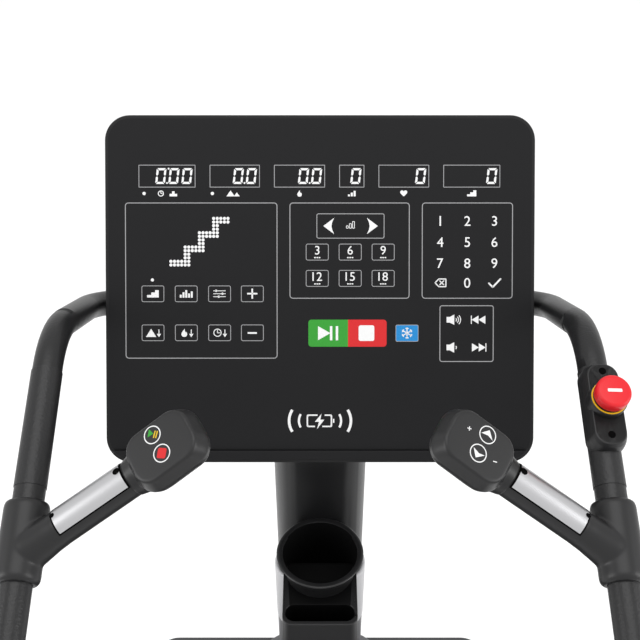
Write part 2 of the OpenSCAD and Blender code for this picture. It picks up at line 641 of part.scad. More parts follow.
// Cup holder with a pocket in front of it
module cup_holder() color("black") difference() {
    union() {
        translate([0, cup_y, cup_z - cup_deep - 6]) cylinder(d = cup_od - 4, h = cup_deep + 2);
        translate([0, cup_y, cup_z - 5]) cylinder(d = cup_od, h = 5);
        translate([0, slot_y + 6, pocket_z - pocket_deep - 5]) linear_extrude(pocket_deep + 5)
            rrect(slot_w + 2 * pocket_wall, slot_d + 2 * pocket_wall + 12, 9);
        block(-42, 42, cup_y + cup_id / 2 + 1, mast_y - mast_d / 2, cup_z - cup_deep - 6, cup_z - 45);
    }
    translate([0, cup_y, cup_z - cup_deep]) cylinder(d = cup_id, h = cup_deep + 1);
    translate([0, slot_y, pocket_z - pocket_deep]) linear_extrude(pocket_deep + 1) rrect(slot_w, slot_d, 8);
}

base_left();
base_right();
cross_front();
cross_rear();
mast();
mast_collar();
mast_sleeve();
hood();
front_cover();
side_cover_left();
side_cover_right();
skirt_left();
skirt_right();
rear_cover();
guide_rails();
upper_bearings();
lower_bearings();
alternator_case();
belt();
console_rear();
console_front();
overlay();
console_ledge();
display_board();
console_bracket();
rail_left();
rail_right();
rail_clamp();
joint_cover_left();
joint_cover_right();
handle_left();
handle_right();
pulse_plate_left();
pulse_plate_right();
pod_left();
pod_right();
grip_left();
grip_right();
estop_housing();
estop_ring();
cup_holder();
power_inlet();
front_feet();
estop_stem();
estop_cap();
drive_shaft();
drive_pulley();
idler_shaft();
alternator_rotor();
treads();
risers();
step_axles();
chain_upper();
return_steps();
chain_return();
wheel_left();
wheel_right();
foot_left();
foot_right();
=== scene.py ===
import bpy
import bmesh
import json
from math import radians, sin, cos, pi
from mathutils import Matrix, Vector


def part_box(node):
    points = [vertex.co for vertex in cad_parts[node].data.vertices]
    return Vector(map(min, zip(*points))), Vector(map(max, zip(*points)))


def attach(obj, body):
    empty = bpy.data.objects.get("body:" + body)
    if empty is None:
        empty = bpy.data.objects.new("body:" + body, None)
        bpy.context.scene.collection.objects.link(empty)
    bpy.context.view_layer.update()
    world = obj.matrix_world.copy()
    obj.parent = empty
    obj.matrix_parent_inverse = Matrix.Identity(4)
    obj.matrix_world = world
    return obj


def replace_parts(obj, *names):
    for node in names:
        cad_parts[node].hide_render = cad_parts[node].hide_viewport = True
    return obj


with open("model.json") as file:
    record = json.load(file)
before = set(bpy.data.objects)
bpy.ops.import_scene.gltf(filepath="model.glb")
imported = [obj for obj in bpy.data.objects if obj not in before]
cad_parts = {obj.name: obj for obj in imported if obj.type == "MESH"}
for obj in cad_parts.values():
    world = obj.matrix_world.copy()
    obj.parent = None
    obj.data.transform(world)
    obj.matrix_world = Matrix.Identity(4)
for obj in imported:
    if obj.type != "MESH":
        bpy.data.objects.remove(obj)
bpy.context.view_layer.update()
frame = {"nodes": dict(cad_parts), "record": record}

# The room: a pale studio floor, one big soft light over the console, two side lights that
# draw the long satin streaks on the tubes, and a view down from where the climber stands.
console_middle = Vector((0.0, 0.560, 1.860))
console_lean = radians(49.5)
camera_data = bpy.data.cameras.new("climber_view")
camera_data.lens = 56.25
camera_data.sensor_width = 36.0
camera = bpy.data.objects.new("climber_view", camera_data)
camera.location = console_middle + Vector((0.0, -0.916, 0.7755))
camera.rotation_euler = (radians(48.0), 0.0, 0.0)
bpy.context.collection.objects.link(camera)
bpy.context.scene.camera = camera
world = bpy.data.worlds.new("studio")
world.use_nodes = True
world.node_tree.nodes["Background"].inputs[0].default_value = (1.0, 1.0, 1.0, 1.0)
world.node_tree.nodes["Background"].inputs[1].default_value = 1.02
bpy.context.scene.world = world
bpy.context.scene.view_settings.view_transform = "Standard"


def area_light(name, place, aim, size, watts):
    data = bpy.data.lights.new(name, "AREA")
    data.shape = "RECTANGLE"
    data.size, data.size_y = size
    data.energy = watts
    lamp = bpy.data.objects.new(name, data)
    lamp.location = place
    lamp.rotation_euler = (Vector(aim) - Vector(place)).to_track_quat("-Z", "Y").to_euler()
    bpy.context.collection.objects.link(lamp)


area_light("over_light", (0.0, 0.2, 4.6), (0.0, 0.4, 1.2), (2.6, 1.8), 34)
area_light("left_light", (-3.0, -0.6, 2.6), (0.0, 0.4, 1.4), (1.2, 2.4), 42)
area_light("right_light", (3.0, -0.6, 2.6), (0.0, 0.4, 1.4), (1.2, 2.4), 42)
floor_mesh = bpy.data.meshes.new("floor")
floor_bm = bmesh.new()
bmesh.ops.create_grid(floor_bm, x_segments=1, y_segments=1, size=12.0)
floor_bm.to_mesh(floor_mesh)
floor_bm.free()
floor = bpy.data.objects.new("floor", floor_mesh)
floor_finish = bpy.data.materials.new("studio_floor")
floor_finish.use_nodes = True
floor_finish.node_tree.nodes["Principled BSDF"].inputs["Base Color"].default_value = (0.93, 0.93, 0.93, 1.0)
floor_finish.node_tree.nodes["Principled BSDF"].inputs["Roughness"].default_value = 0.9
floor_mesh.materials.append(floor_finish)
bpy.context.collection.objects.link(floor)


# Welded frame: square steel tube with posts for the shafts and the handrails, powder coated
# black. Each finish is a base colour with fine variation and a bump at the scale of the real coat.
def finish(name, colour, rough, metal=0.0, grain=600.0, bump=0.15, depth=0.0002, mottle=0.12, coat=0.0,
           stretch=(1.0, 1.0, 1.0), rough_swing=0.06, specular=0.5):
    mat = bpy.data.materials.new(name)
    mat.use_nodes = True
    nodes, links = mat.node_tree.nodes, mat.node_tree.links
    shader = nodes["Principled BSDF"]
    shader.inputs["Metallic"].default_value = metal
    shader.inputs["Coat Weight"].default_value = coat
    shader.inputs["Specular IOR Level"].default_value = specular
    shader.inputs["Coat Roughness"].default_value = 0.12
    place = nodes.new("ShaderNodeTexCoord")
    turn = nodes.new("ShaderNodeMapping")
    turn.inputs["Scale"].default_value = stretch
    links.new(place.outputs["Object"], turn.inputs["Vector"])
    fine = nodes.new("ShaderNodeTexNoise")
    fine.inputs["Scale"].default_value = grain
    fine.inputs["Detail"].default_value = 3.0
    links.new(turn.outputs["Vector"], fine.inputs["Vector"])
    broad = nodes.new("ShaderNodeTexNoise")
    broad.inputs["Scale"].default_value = grain / 90.0
    broad.inputs["Detail"].default_value = 4.0
    links.new(turn.outputs["Vector"], broad.inputs["Vector"])
    shade = nodes.new("ShaderNodeMix")
    shade.data_type = "RGBA"
    shade.inputs["A"].default_value = [c * (1.0 - mottle) for c in colour] + [1.0]
    shade.inputs["B"].default_value = [min(1.0, c * (1.0 + mottle)) for c in colour] + [1.0]
    links.new(broad.outputs["Fac"], shade.inputs["Factor"])
    links.new(shade.outputs["Result"], shader.inputs["Base Color"])
    gloss = nodes.new("ShaderNodeMapRange")
    gloss.inputs["To Min"].default_value = max(0.02, rough - rough_swing)
    gloss.inputs["To Max"].default_value = min(1.0, rough + rough_swing)
    links.new(fine.outputs["Fac"], gloss.inputs["Value"])
    links.new(gloss.outputs["Result"], shader.inputs["Roughness"])
    relief = nodes.new("ShaderNodeBump")
    relief.inputs["Strength"].default_value = bump
    relief.inputs["Distance"].default_value = depth
    links.new(fine.outputs["Fac"], relief.inputs["Height"])
    links.new(relief.outputs["Normal"], shader.inputs["Normal"])
    return mat


def body_of(node):
    for body, members in frame["record"]["behaviour"]["bodies"].items():
        if node in members:
            return body


def dress(node, mat):
    coats = frame["nodes"][node].data.materials
    coats.clear()
    coats.append(mat)


def rounded(piece, name, width, segments, angle):
    bevel = piece.modifiers.new(name, "BEVEL")
    bevel.width, bevel.segments = width, segments
    bevel.limit_method, bevel.angle_limit = "ANGLE", radians(angle)
    bevel.harden_normals = True


# A copy of a frame member with its triangles joined and its edges softened
def softened(node, mat, edge=0.0015, steps=2, angle=32.0):
    bm = bmesh.new()
    bm.from_mesh(frame["nodes"][node].data)
    bmesh.ops.remove_doubles(bm, verts=bm.verts, dist=1e-6)
    bmesh.ops.dissolve_limit(bm, angle_limit=radians(0.6), verts=bm.verts, edges=bm.edges)
    mesh = bpy.data.meshes.new(node + "_finished")
    bm.to_mesh(mesh)
    bm.free()
    for face in mesh.polygons:
        face.use_smooth = True
    mesh.set_sharp_from_angle(angle=radians(angle))
    piece = bpy.data.objects.new(node + "_finished", mesh)
    bpy.context.collection.objects.link(piece)
    mesh.materials.append(mat)
    if edge > 0:
        rounded(piece, "soft_edges", edge, steps, angle)
    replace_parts(piece, node)
    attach(piece, body_of(node))
    return piece


frame_coat = finish("frame_coat", (0.030, 0.030, 0.032), 0.42, grain=900, bump=0.35, depth=0.0003)
for member in ("base_left", "base_right", "cross_front", "cross_rear", "console_bracket", "rail_clamp"):
    softened(member, frame_coat, 0.002)
foot_rubber = finish("foot_rubber", (0.02, 0.02, 0.02), 0.75, grain=400, bump=0.2)
for member in ("front_feet", "foot_left", "foot_right"):
    softened(member, foot_rubber, 0.002)

# Drive train behind the covers: turned shafts with flame-cut sprockets, a spoked belt pulley,
# rolled chain, pillow blocks and a cast alternator case, all lightly oiled.
oiled_steel = finish("oiled_steel", (0.32, 0.32, 0.33), 0.34, metal=1.0, grain=500, bump=0.12,
                     stretch=(0.08, 1.0, 1.0))
cast_alloy = finish("cast_alloy", (0.52, 0.52, 0.53), 0.5, metal=1.0, grain=700, bump=0.4, depth=0.0004)
for member in ("drive_shaft", "idler_shaft", "drive_pulley", "alternator_rotor", "step_axles"):
    softened(member, oiled_steel, 0.0006, 1)
for member in ("chain_upper", "chain_return"):
    softened(member, oiled_steel, 0.0)
for member in ("guide_rails", "upper_bearings", "lower_bearings", "alternator_case"):
    softened(member, cast_alloy, 0.0015)
belt_rubber = finish("belt_rubber", (0.015, 0.015, 0.015), 0.7, grain=500, bump=0.3)
softened("belt", belt_rubber, 0.0004, 1, 40.0)
wheel_plastic = finish("wheel_plastic", (0.03, 0.03, 0.03), 0.5, grain=400)
for member in ("wheel_left", "wheel_right"):
    softened(member, wheel_plastic, 0.004, 3)

# Treads and risers: moulded treads with raised cross ribs for the shoe soles and a bright
# nosing, and folded sheet risers between them.
tread_plastic = finish("tread_plastic", (0.040, 0.040, 0.042), 0.55, grain=700, bump=0.35, depth=0.0003)
riser_coat = finish("riser_coat", (0.085, 0.085, 0.09), 0.4, grain=800, bump=0.2)
nosing_grey = finish("nosing_grey", (0.28, 0.28, 0.29), 0.5, grain=500, bump=0.25)
softened("treads", tread_plastic, 0.003, 3)
softened("risers", riser_coat, 0.001)
softened("return_steps", tread_plastic, 0.003, 2)
tread_low, tread_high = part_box("treads")
step_run, step_rise, tread_thick = 0.240, 0.201, 0.057
ribs_a_tread, first_rib, rib_pitch, rib_wide, rib_margin = 14, 0.030, 0.0145, 0.006, 0.012
nosing_deep, nosing_drop = 0.016, 0.022
rib_bm, nose_bm = bmesh.new(), bmesh.new()


def slab(bm, low, high, edge=0.0, steps=2):
    made = bmesh.ops.create_cube(bm, size=1.0)
    size = Vector(high) - Vector(low)
    bmesh.ops.scale(bm, verts=made["verts"], vec=size)
    bmesh.ops.translate(bm, verts=made["verts"], vec=(Vector(low) + Vector(high)) / 2)
    if edge > 0:
        edges = list({e for v in made["verts"] for e in v.link_edges})
        bmesh.ops.bevel(bm, geom=edges, offset=edge, affect="EDGES", segments=steps, profile=0.5, material=-1)


def to_piece(bm, name, mats, body, smooth=35.0):
    mesh = bpy.data.meshes.new(name)
    bm.to_mesh(mesh)
    bm.free()
    for mat in mats:
        mesh.materials.append(mat)
    for face in mesh.polygons:
        face.use_smooth = smooth > 0
    if smooth > 0:
        mesh.set_sharp_from_angle(angle=radians(smooth))
    piece = bpy.data.objects.new(name, mesh)
    bpy.context.collection.objects.link(piece)
    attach(piece, body)
    return piece


for step in range(4):
    y0 = tread_low[1] + step * step_run
    z0 = tread_low[2] + tread_thick + step * step_rise
    for rib in range(ribs_a_tread):
        y = y0 + first_rib + rib * rib_pitch
        slab(rib_bm, (tread_low[0] + rib_margin, y, z0 - 0.0004),
             (tread_high[0] - rib_margin, y + rib_wide, z0 + 0.0016), 0.0007, 1)
    slab(nose_bm, (tread_low[0] + 0.002, y0 - 0.0012, z0 - nosing_drop),
         (tread_high[0] - 0.002, y0 + nosing_deep, z0 + 0.0018), 0.0012)
to_piece(rib_bm, "tread_ribs", [tread_plastic], "climbing_run")
to_piece(nose_bm, "tread_nosings", [nosing_grey], "climbing_run")

# Covers: thick moulded side shells, a flat hood and a sloped front panel in satin charcoal,
# with grey inner panels. Screw heads sit along the edge of each side shell.
cover_plastic = finish("cover_plastic", (0.036, 0.036, 0.040), 0.48, grain=900, bump=0.3, depth=0.0003)
inner_panel = finish("inner_panel", (0.16, 0.16, 0.17), 0.5, grain=700, bump=0.2)
hood_grey = finish("hood_grey", (0.050, 0.050, 0.054), 0.5, grain=900, bump=0.3, depth=0.0003)
for member in ("side_cover_left", "side_cover_right"):
    softened(member, cover_plastic, 0.0022, 4)
for member in ("front_cover", "rear_cover"):
    softened(member, cover_plastic, 0.0012, 3)
softened("hood", hood_grey, 0.0018, 4, 28.0)
for member in ("skirt_left", "skirt_right"):
    softened(member, inner_panel, 0.0008, 1)
softened("power_inlet", finish("inlet_plastic", (0.02, 0.02, 0.02), 0.35, grain=400), 0.0008)
side_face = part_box("side_cover_right")[1][0]
first_screw, screw_pitch, screws_a_side = -0.60, 0.24, 6
trim_bm = bmesh.new()
for side in (-1, 1):
    outwards = Matrix.Rotation(radians(90 * side), 3, "Y")
    for spot in range(screws_a_side):
        z = 0.16 if spot in (0, screws_a_side - 1) else 0.15
        made = bmesh.ops.create_cone(trim_bm, cap_ends=True, segments=24, radius1=0.0075, radius2=0.0062,
                                     depth=0.002)
        bmesh.ops.rotate(trim_bm, verts=made["verts"], cent=(0, 0, 0), matrix=outwards)
        bmesh.ops.translate(trim_bm, verts=made["verts"],
                            vec=(side * (side_face + 0.0008), first_screw + spot * screw_pitch, z))
to_piece(trim_bm, "cover_screws", [oiled_steel], "frame")


def verts_in(geom):
    return [g for g in geom if isinstance(g, bmesh.types.BMVert)]


# A flat shape laid on the outer face of a side cover, from points as (y, z)
def on_side(bm, points, side, proud, thick):
    face = bm.faces.new([bm.verts.new((side * (side_face + proud), y, z)) for y, z in points])
    raised = bmesh.ops.extrude_face_region(bm, geom=[face])["geom"]
    bmesh.ops.translate(bm, verts=verts_in(raised), vec=(side * thick, 0, 0))


# A light band low on each side, a satin panel that follows the stair slope, and nine vents drawn as thin
# near-black shapes on the panel, painted shade for the slots
band_low, band_high = 0.060, 0.075
vent_first, vent_pitch, vent_half, vent_front = 0.560, 0.030, 0.006, 0.420
band_bm, panel_bm, slot_bm = bmesh.new(), bmesh.new(), bmesh.new()
for side in (-1, 1):
    on_side(band_bm, [(-0.716, band_low), (0.712, band_low), (0.712, band_high), (-0.716, band_high)],
            side, 0.0002, 0.0012)
    on_side(panel_bm, [(-0.640, 0.205), (-0.625, 0.190), (0.628, 0.190), (0.650, 0.212), (0.600, 0.862),
                       (0.562, 0.900), (0.146, 0.900), (0.128, 0.893), (-0.634, 0.254), (-0.640, 0.240)],
            side, 0.0, 0.0022)
    for vent in range(9):
        low = vent_first + vent_pitch * vent
        vent_back = 0.570 - 0.0023 * vent
        on_side(slot_bm, [(vent_front, low), (vent_back, low), (vent_back + 0.008, low + vent_half),
                          (vent_back, low + 2 * vent_half), (vent_front, low + 2 * vent_half),
                          (vent_front - 0.008, low + vent_half)], side, 0.0020, 0.0006)
for made_bm in (band_bm, panel_bm, slot_bm):
    bmesh.ops.recalc_face_normals(made_bm, faces=made_bm.faces)
to_piece(band_bm, "cover_bands", [nosing_grey], "frame")
panel_satin = finish("panel_satin", (0.014, 0.014, 0.015), 0.34, grain=900, bump=0.2, specular=0.4)
rounded(to_piece(panel_bm, "side_panels", [panel_satin], "frame"), "rounding", 0.0014, 3, 60)
# painted shade: near black and almost without sheen, standing in for the shade inside the vent slots
vent_painted_shade = finish("vent_painted_shade", (0.002, 0.002, 0.002), 0.8, grain=500, bump=0.2, specular=0.05)
to_piece(slot_bm, "side_vents", [vent_painted_shade], "frame")

# Hood mat: a ribbed rubber mat let into the flat of the hood, between the top step and the
# mast. It gives the climber a sure footing when getting off.
hood_low, hood_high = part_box("hood")
hood_edge, hood_top = hood_low[1], hood_high[2]
mat_half, mat_back, mat_pitch = 0.245, 0.425, 0.0148
mat_bm = bmesh.new()
slab(mat_bm, (-mat_half, hood_edge + 0.045, hood_top - 0.004), (mat_half, mat_back, hood_top + 0.0010), 0.0008)
for rib in range(22):
    y = hood_edge + 0.056 + rib * mat_pitch
    if y < mat_back - 0.013:
        slab(mat_bm, (0.009 - mat_half, y, hood_top + 0.0002),
             (mat_half - 0.009, y + rib_wide, hood_top + 0.0022), 0.0006, 1)
to_piece(mat_bm, "hood_mat", [foot_rubber], "frame")

# Mast: an oval steel tube with a fine black powder coat, wrapped low down by a sleeve and a grey
# moulded boot that flares onto the hood. The sleeve is coloured light grey as a painted highlight,
# standing in for the sheen on its rounded black sides.
mast_coat = finish("mast_coat", (0.007, 0.007, 0.0075), 0.34, grain=1100, bump=0.5, depth=0.0003, specular=0.4)
softened("mast", mast_coat, 0.0008, 2)
# painted highlight: the sleeve's light grey stands in for the sheen on a black sleeve
softened("mast_sleeve", finish("sleeve_painted_highlight", (0.42, 0.42, 0.43), 0.42, grain=800, bump=0.15), 0.003, 3)
softened("mast_collar", finish("boot_grey", (0.12, 0.12, 0.125), 0.45, grain=800, bump=0.25), 0.003, 3)

# Handrails: bent steel tube with a pebbled black coat, under thin grained grip sleeves. A
# rubber collar closes the hole where each rail goes down into its side cover.
rail_coat = finish("rail_coat", (0.0080, 0.0080, 0.0085), 0.36, grain=420, bump=0.55, depth=0.0006,
                   mottle=0.2, specular=0.35)
grip_grain = finish("grip_grain", (0.0090, 0.0090, 0.0096), 0.38, grain=380, bump=0.65, depth=0.0007,
                    mottle=0.22, specular=0.35)
for member in ("rail_left", "rail_right"):
    softened(member, rail_coat, 0.0, angle=40.0)
for member in ("grip_left", "grip_right"):
    softened(member, grip_grain, 0.0002, 1, 40.0)
rail_half, rail_slope = 0.2845, 0.35
rail_way = Vector((0.0, 1.0, rail_slope)).normalized()
cover_normal = Vector((0.0, -0.642, 0.767))


# A point on the axis of the right rail's straight upper run, y measured from the console
def on_rail(y):
    return console_middle + Vector((rail_half, y, 0.0347 + rail_slope * (y + 0.1867)))


# Stands a turned shape, drawn as radius and height pairs, on a point along a direction
def turned(bm, profile, start, way, steps=48):
    lathe = bmesh.new()
    rim = [lathe.verts.new((r, 0.0, z)) for r, z in profile]
    edges = [lathe.edges.new(pair) for pair in zip(rim, rim[1:])]
    bmesh.ops.spin(lathe, geom=rim + edges, cent=(0, 0, 0), axis=(0, 0, 1), angle=2 * pi, steps=steps,
                   use_merge=True, dvec=(0, 0, 0))
    bmesh.ops.remove_doubles(lathe, verts=lathe.verts, dist=1e-6)
    bmesh.ops.recalc_face_normals(lathe, faces=lathe.faces)
    place = Matrix.Translation(start) @ Vector(way).to_track_quat("Z", "Y").to_matrix().to_4x4()
    bmesh.ops.transform(lathe, matrix=place, verts=lathe.verts)
    shape = bpy.data.meshes.new("turned")
    lathe.to_mesh(shape)
    lathe.free()
    bm.from_mesh(shape)
    bpy.data.meshes.remove(shape)


collar_bm = bmesh.new()
for side in (-1, 1):
    turned(collar_bm, [(0.0150, -0.006), (0.0290, -0.006), (0.0290, 0.002), (0.0270, 0.0045), (0.0205, 0.0070),
                       (0.0190, 0.0130), (0.0175, 0.0150), (0.0150, 0.0150), (0.0150, -0.006)],
           Vector((side * rail_half, -0.4672, 0.4640)), cover_normal)
to_piece(collar_bm, "rail_collars", [foot_rubber], "frame")

# Joint covers: a two-part black moulding clamps each rail and carries the inner handle on a
# short branch. The skin is drawn tight over both, so the branch flows out of the cover in a Y.
joint_plastic = finish("joint_plastic", (0.011, 0.011, 0.0115), 0.38, grain=900, bump=0.25, specular=0.32)
joint_middle = on_rail(-0.349)
branch_start = console_middle + Vector((rail_half, -0.360, -0.026))
branch_way = Vector((-105.1, 45.0, 57.0)).normalized()


# One skin over several overlapping solids, with the hollows between them filled in smoothly
def skinned(bm, name, mat, body, nodes_replaced, voxel=0.0011, rounds=8):
    bmesh.ops.remove_doubles(bm, verts=bm.verts, dist=1e-5)
    bmesh.ops.recalc_face_normals(bm, faces=bm.faces)
    piece = to_piece(bm, name, [mat], body, 0)
    skin = piece.modifiers.new("one_skin", "REMESH")
    skin.mode = "VOXEL"
    skin.voxel_size = voxel
    skin.use_smooth_shade = True
    even = piece.modifiers.new("flow", "SMOOTH")
    even.factor = 0.6
    even.iterations = rounds
    for node in nodes_replaced:
        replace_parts(piece, node)
    return piece


def mirrored(bm, side):
    if side < 0:
        bmesh.ops.scale(bm, verts=bm.verts, vec=(-1.0, 1.0, 1.0))
        bmesh.ops.reverse_faces(bm, faces=bm.faces)


for side, label in ((1, "right"), (-1, "left")):
    cover_bm = bmesh.new()
    turned(cover_bm, [(0.0, -0.040), (0.0185, -0.040), (0.0212, -0.0375), (0.0222, -0.034), (0.0222, 0.034),
                      (0.0214, 0.038), (0.0190, 0.040), (0.0, 0.040)], joint_middle, rail_way)
    turned(cover_bm, [(0.0, -0.004), (0.0212, -0.004), (0.0206, 0.014), (0.0192, 0.026), (0.0181, 0.036),
                      (0.01765, 0.048), (0.0, 0.048)], branch_start, branch_way)
    mirrored(cover_bm, side)
    skinned(cover_bm, "joint_skin_" + label, joint_plastic, "frame", ["joint_cover_" + label], 0.0012, 14)
    softened("handle_" + label, joint_plastic, 0.0)

# Pulse plates: a curved stainless strip let into the top of each handle on a thin black
# gasket, held at both ends by a black screw that sits in a half-round notch.
pulse_steel = finish("pulse_steel", (0.50, 0.50, 0.51), 0.34, metal=1.0, grain=900, bump=0.06,
                     stretch=(1.0, 1.0, 0.1), mottle=0.05)
gasket_black = finish("gasket_black", (0.0015, 0.0015, 0.0015), 0.85, grain=500, bump=0.1, mottle=0.3,
                      specular=0.03)


# A direction turned square to another one
def square_to(way, other):
    return (way - way.dot(other) * other).normalized()


# The place of a piece: its origin, the way its x runs and the way its z stands
def seated(origin, x_way, z_way):
    return Matrix.Translation(origin) @ Matrix((x_way, z_way.cross(x_way), z_way)).transposed().to_4x4()


# A strip bent round the handle: its radius, its half angle, its two ends and its thickness
def bent_strip(bm, radius, half_angle, first, last, thickness):
    ends = [bm.verts.new((radius * cos(half_angle), -radius * sin(half_angle), z)) for z in (first, last)]
    bmesh.ops.spin(bm, geom=ends + [bm.edges.new(ends)], cent=(0, 0, 0), axis=(0, 0, 1), angle=2 * half_angle,
                   steps=24, use_merge=False, dvec=(0, 0, 0))
    bmesh.ops.recalc_face_normals(bm, faces=bm.faces)
    bmesh.ops.solidify(bm, geom=bm.faces, thickness=thickness)


plate_place = seated(branch_start, square_to(Vector((0.463, -0.039, 0.885)), branch_way), branch_way)
plate_first, plate_last, plate_thick, gasket_rim = 0.0500, 0.1275, 0.0008, 0.0016
for side, label in ((1, "right"), (-1, "left")):
    plate_bm, gasket_bm = bmesh.new(), bmesh.new()
    bent_strip(plate_bm, 0.0186, radians(64), plate_first, plate_last, plate_thick)
    bent_strip(gasket_bm, 0.0183, radians(69), plate_first - gasket_rim, plate_last + gasket_rim, plate_thick)
    for along, radius in ((plate_first + 0.0008, 0.0026), (plate_last - 0.0030, 0.0036)):
        made = bmesh.ops.create_cone(gasket_bm, cap_ends=True, segments=24, radius1=radius, radius2=radius,
                                     depth=0.004)
        bmesh.ops.rotate(gasket_bm, verts=made["verts"], cent=(0, 0, 0),
                         matrix=Matrix.Rotation(radians(90), 3, "Y"))
        bmesh.ops.translate(gasket_bm, verts=made["verts"], vec=(0.0169, 0, along))
    for strip_bm, name, mat in ((plate_bm, "pulse_strip_", pulse_steel),
                                (gasket_bm, "pulse_gasket_", gasket_black)):
        bmesh.ops.transform(strip_bm, matrix=plate_place, verts=strip_bm.verts)
        mirrored(strip_bm, side)
        strip = to_piece(strip_bm, name + label, [mat], "frame")
        if strip_bm is plate_bm:
            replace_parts(strip, "pulse_plate_" + label)

# Control pods: a drafted black moulding on the end of each handle, with a raised soft diamond
# face, sloping flanks and a neck that swells out of the handle.
pod_middle = console_middle + Vector((0.1378, -0.3048, 0.0633))
pod_up = Vector((0.365, -0.414, 0.834)).normalized()
pod_place = seated(pod_middle, square_to(branch_way, pod_up), pod_up)


def round_box(x0, y0, x1, y1, radius, corner=6):
    points = []
    for cx, cy, start in ((x1 - radius, y1 - radius, 0), (x0 + radius, y1 - radius, 90),
                          (x0 + radius, y0 + radius, 180), (x1 - radius, y0 + radius, 270)):
        for step in range(corner + 1):
            a = radians(start + 90.0 * step / corner)
            points.append((cx + radius * cos(a), cy + radius * sin(a)))
    return points


# A drafted moulding drawn up from a rounded foot, through levels of length, width and height
def drawn_up(bm, radius, *levels):
    length, width, foot = levels[0]
    layer = bm.faces.new([bm.verts.new((x, y, foot)) for x, y in
                          round_box(-length / 2, -width / 2, length / 2, width / 2, radius, 8)])
    for (last_length, last_width, low), (length, width, high) in zip(levels, levels[1:]):
        lifted = bmesh.ops.extrude_face_region(bm, geom=[layer])["geom"]
        layer = [g for g in lifted if isinstance(g, bmesh.types.BMFace)][0]
        bmesh.ops.scale(bm, verts=layer.verts, vec=(length / last_length, width / last_width, 1.0))
        bmesh.ops.translate(bm, verts=layer.verts, vec=(0, 0, high - low))
    return layer


pod_shift = 0.0025
for side, label in ((1, "right"), (-1, "left")):
    pod_bm = bmesh.new()
    drawn_up(pod_bm, 0.014, (0.056, 0.040, -0.019), (0.066, 0.049, -0.014), (0.076, 0.057, -0.005),
             (0.079, 0.060, 0.002), (0.077, 0.058, 0.006), (0.069, 0.0525, 0.0175), (0.066, 0.050, 0.019))
    bmesh.ops.translate(pod_bm, verts=pod_bm.verts, vec=(-pod_shift, 0, 0))
    bmesh.ops.transform(pod_bm, matrix=pod_place, verts=pod_bm.verts)
    turned(pod_bm, [(0.0, 0.1292), (0.0180, 0.1292), (0.0192, 0.134), (0.0214, 0.142), (0.0222, 0.150),
                    (0.018, 0.160), (0.0, 0.164)], branch_start, branch_way)
    mirrored(pod_bm, side)
    skinned(pod_bm, "pod_skin_" + label, joint_plastic, "frame", ["pod_" + label], 0.0010, 9)

# Emergency stop: a black saddle housing screwed over the right grip, with a switch bezel, a
# yellow collar drawn as a thin band with the bezel black inside it as painted shade under the cap,
# and a red mushroom cap that pushes in and twists out.
softened("estop_stem", oiled_steel, 0.0005)
ring_yellow = finish("ring_yellow", (0.85, 0.48, 0.01), 0.35, grain=400, bump=0.05)
cap_red = finish("cap_red", (0.58, 0.010, 0.016), 0.36, grain=400, bump=0.04, mottle=0.05, specular=0.30)
stop_middle = on_rail(-0.220)
stop_up = square_to(Vector((0.06, -0.33, 0.944)), rail_way)
stop_place = seated(stop_middle, rail_way, stop_up)
saddle_bm = bmesh.new()
saddle_top, saddle_shift = 0.0268, 0.0025
lid = drawn_up(saddle_bm, 0.0150, (0.095, 0.038, 0.002), (0.095, 0.038, 0.010), (0.0935, 0.0370, 0.016),
               (0.0905, 0.0345, 0.022), (0.0870, 0.0320, 0.0258), (0.0840, 0.0300, saddle_top),
               (0.0825, 0.0285, saddle_top))

# The stem slides in a blind bore that goes down from the saddle's top face
bore_radius, bore_deep = 0.0086, 0.0118
lid_edges = list(lid.edges)
bmesh.ops.delete(saddle_bm, geom=[lid], context="FACES_ONLY")
mouth = bmesh.ops.create_circle(saddle_bm, cap_ends=False, radius=bore_radius, segments=64)["verts"]
bmesh.ops.translate(saddle_bm, verts=mouth, vec=(saddle_shift, 0, saddle_top))
mouth_edges = list({edge for vert in mouth for edge in vert.link_edges})
bmesh.ops.bridge_loops(saddle_bm, edges=lid_edges + mouth_edges)
bore_wall = bmesh.ops.extrude_edge_only(saddle_bm, edges=mouth_edges)["geom"]
bmesh.ops.translate(saddle_bm, verts=verts_in(bore_wall), vec=(0, 0, -bore_deep))
bmesh.ops.contextual_create(saddle_bm, geom=[g for g in bore_wall if isinstance(g, bmesh.types.BMEdge)])
bmesh.ops.translate(saddle_bm, verts=saddle_bm.verts, vec=(-saddle_shift, 0, 0))
bmesh.ops.transform(saddle_bm, matrix=stop_place, verts=saddle_bm.verts)
# painted shade: inside the thin yellow band the bezel top is black, standing in for the shade that the cap casts
# on the collar
turned(saddle_bm, [(bore_radius, 0.0270), (0.0130, 0.0270), (0.0130, 0.020), (0.0190, 0.020), (0.0190, 0.0275),
                   (0.0188, 0.0345), (0.0184, 0.0349), (bore_radius, 0.0349), (bore_radius, 0.0270)],
       stop_middle, stop_up, 64)
bmesh.ops.recalc_face_normals(saddle_bm, faces=saddle_bm.faces)
saddle = to_piece(saddle_bm, "estop_saddle", [joint_plastic], "frame", 50.0)
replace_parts(saddle, "estop_housing")
cap_top = 0.0525
bore_bm = bmesh.new()
for along in (0.033, -0.036):
    made = bmesh.ops.create_cone(bore_bm, cap_ends=True, segments=32, radius1=0.0037, radius2=0.0037,
                                 depth=0.0030)
    bmesh.ops.translate(bore_bm, verts=made["verts"], vec=(along, 0, 0.0257))
bmesh.ops.transform(bore_bm, matrix=stop_place, verts=bore_bm.verts)
to_piece(bore_bm, "estop_screw_bores", [gasket_black], "frame")
